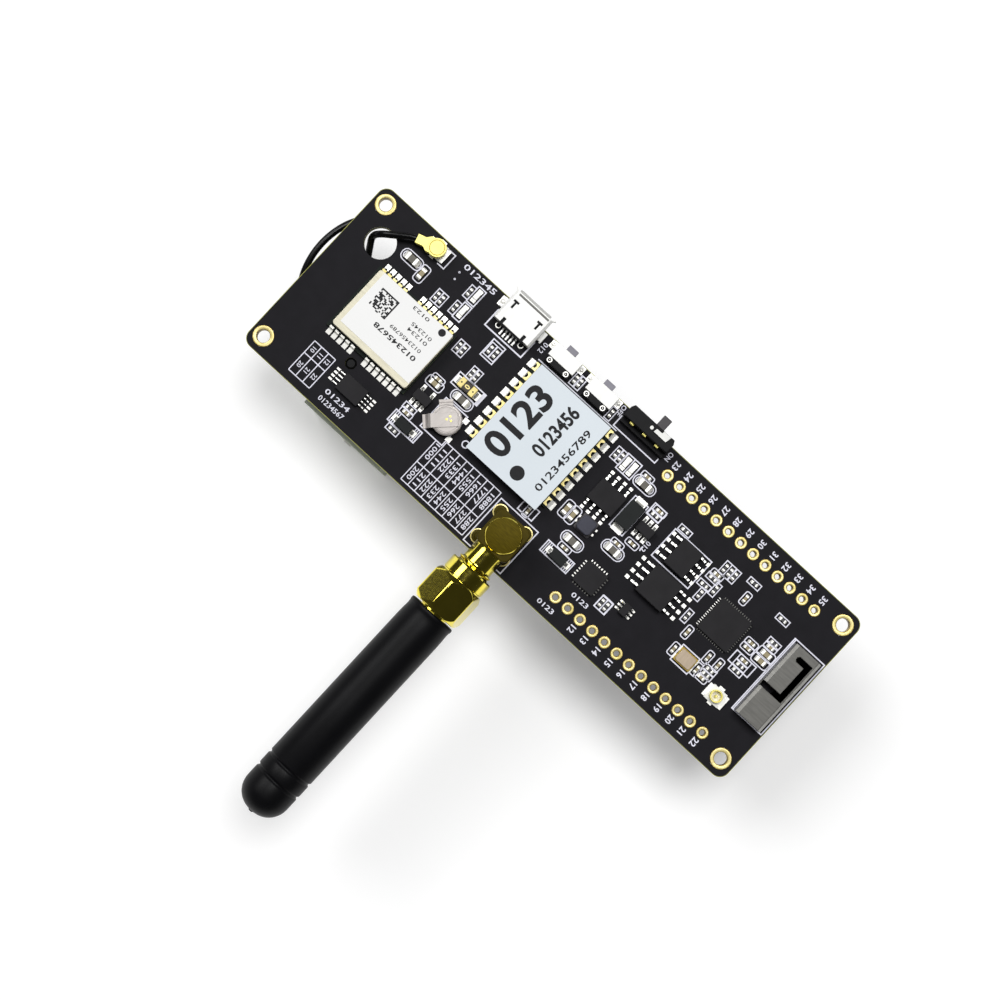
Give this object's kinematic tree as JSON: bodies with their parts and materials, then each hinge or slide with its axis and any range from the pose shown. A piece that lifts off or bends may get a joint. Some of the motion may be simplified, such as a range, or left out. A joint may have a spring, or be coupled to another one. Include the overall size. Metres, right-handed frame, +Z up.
{
  "type": "radio development board",
  "caption": "Long black circuit board with a radio module, a positioning module and a stub antenna on a right-angle jack, standing on a battery holder.",
  "frame": {"origin": "centre of the four mounting holes, on the board's top face", "axes": "+X along the board towards the stamped antenna, +Y towards the edge with the sockets and buttons, +Z up out of the board's top face"},
  "size_m": [0.1025, 0.0866, 0.03],
  "materials": {
    "board": "satin",
    "plating": "bright",
    "module_board": "satin",
    "shield": "satin",
    "label": "matt",
    "chip_black": "matt",
    "socket_shell": "polished",
    "black_plastic": "satin",
    "grey_plastic": "satin",
    "gold": "polished",
    "white_plastic": "satin",
    "sheath": "satin",
    "cable": "satin",
    "ceramic": "matt",
    "steel": "satin",
    "tin": "satin",
    "inductor": "matt",
    "tantalum": "satin",
    "crystal": "satin",
    "led": "gloss",
    "capacitor": "satin"
  },
  "bodies": {
    "board": {"main_board": "board", "mounting_rings": "plating", "header_pads": "plating", "radio_board": "module_board", "radio_pads": "plating", "radio_shield": "shield", "radio_label": "label", "gps_board": "module_board", "gps_pads": "tin", "gps_shield": "shield", "gps_label": "label", "module_chips": "chip_black", "usb_shell": "socket_shell", "usb_tongue": "black_plastic", "usb_contacts": "plating", "button_bases": "black_plastic", "button_covers": "steel", "switch_body": "black_plastic", "switch_pins": "plating", "jack_body": "gold", "jack_cap": "gold", "jack_insulator": "white_plastic", "jack_contact": "gold", "antenna_ferrule": "gold", "antenna_sheath": "sheath", "wifi_antenna": "steel", "coax_jack_bases": "white_plastic", "coax_jack_rings": "plating", "gps_plug": "gold", "gps_cable": "cable", "patch_ceramic": "ceramic", "patch_electrode": "tin", "patch_board": "module_board", "patch_shield": "steel", "battery_holder": "black_plastic", "battery_contacts": "steel", "backup_cell": "steel", "backup_cell_tabs": "steel", "processor_chip": "chip_black", "flash_chip": "chip_black", "memory_chip": "chip_black", "usb_bridge_chip": "chip_black", "charger_chip": "chip_black", "small_chips": "chip_black", "component_leads": "tin", "power_inductor": "inductor", "diodes": "chip_black", "tantalum_capacitor": "tantalum", "crystal": "crystal", "status_leds": "led", "resistors": "chip_black", "capacitors": "capacitor"},
    "reset_plunger": {"reset_button_plunger": "grey_plastic"},
    "user_plunger": {"user_button_plunger": "grey_plastic"},
    "knob": {"switch_knob": "black_plastic"},
    "nut": {"coupling_nut": "gold"}
  },
  "joints": [
    {"name": "reset_press", "type": "slide", "parent": "board", "child": "reset_plunger", "axis": [0, -1, 0], "range_m": [0, 0.00025], "stiffness_N_per_m": 3000, "springref_m": -0.0003},
    {"name": "user_press", "type": "slide", "parent": "board", "child": "user_plunger", "axis": [0, -1, 0], "range_m": [0, 0.00025], "stiffness_N_per_m": 3000, "springref_m": -0.0003},
    {"name": "switch_slide", "type": "slide", "parent": "board", "child": "knob", "axis": [1, 0, 0], "range_m": [-0.0021, 0]},
    {"name": "nut_turn", "type": "hinge", "parent": "board", "child": "nut", "pos_m": [0.0004, -0.0225, 0.004], "axis": [0, 1, 0], "continuous": true}
  ]
}
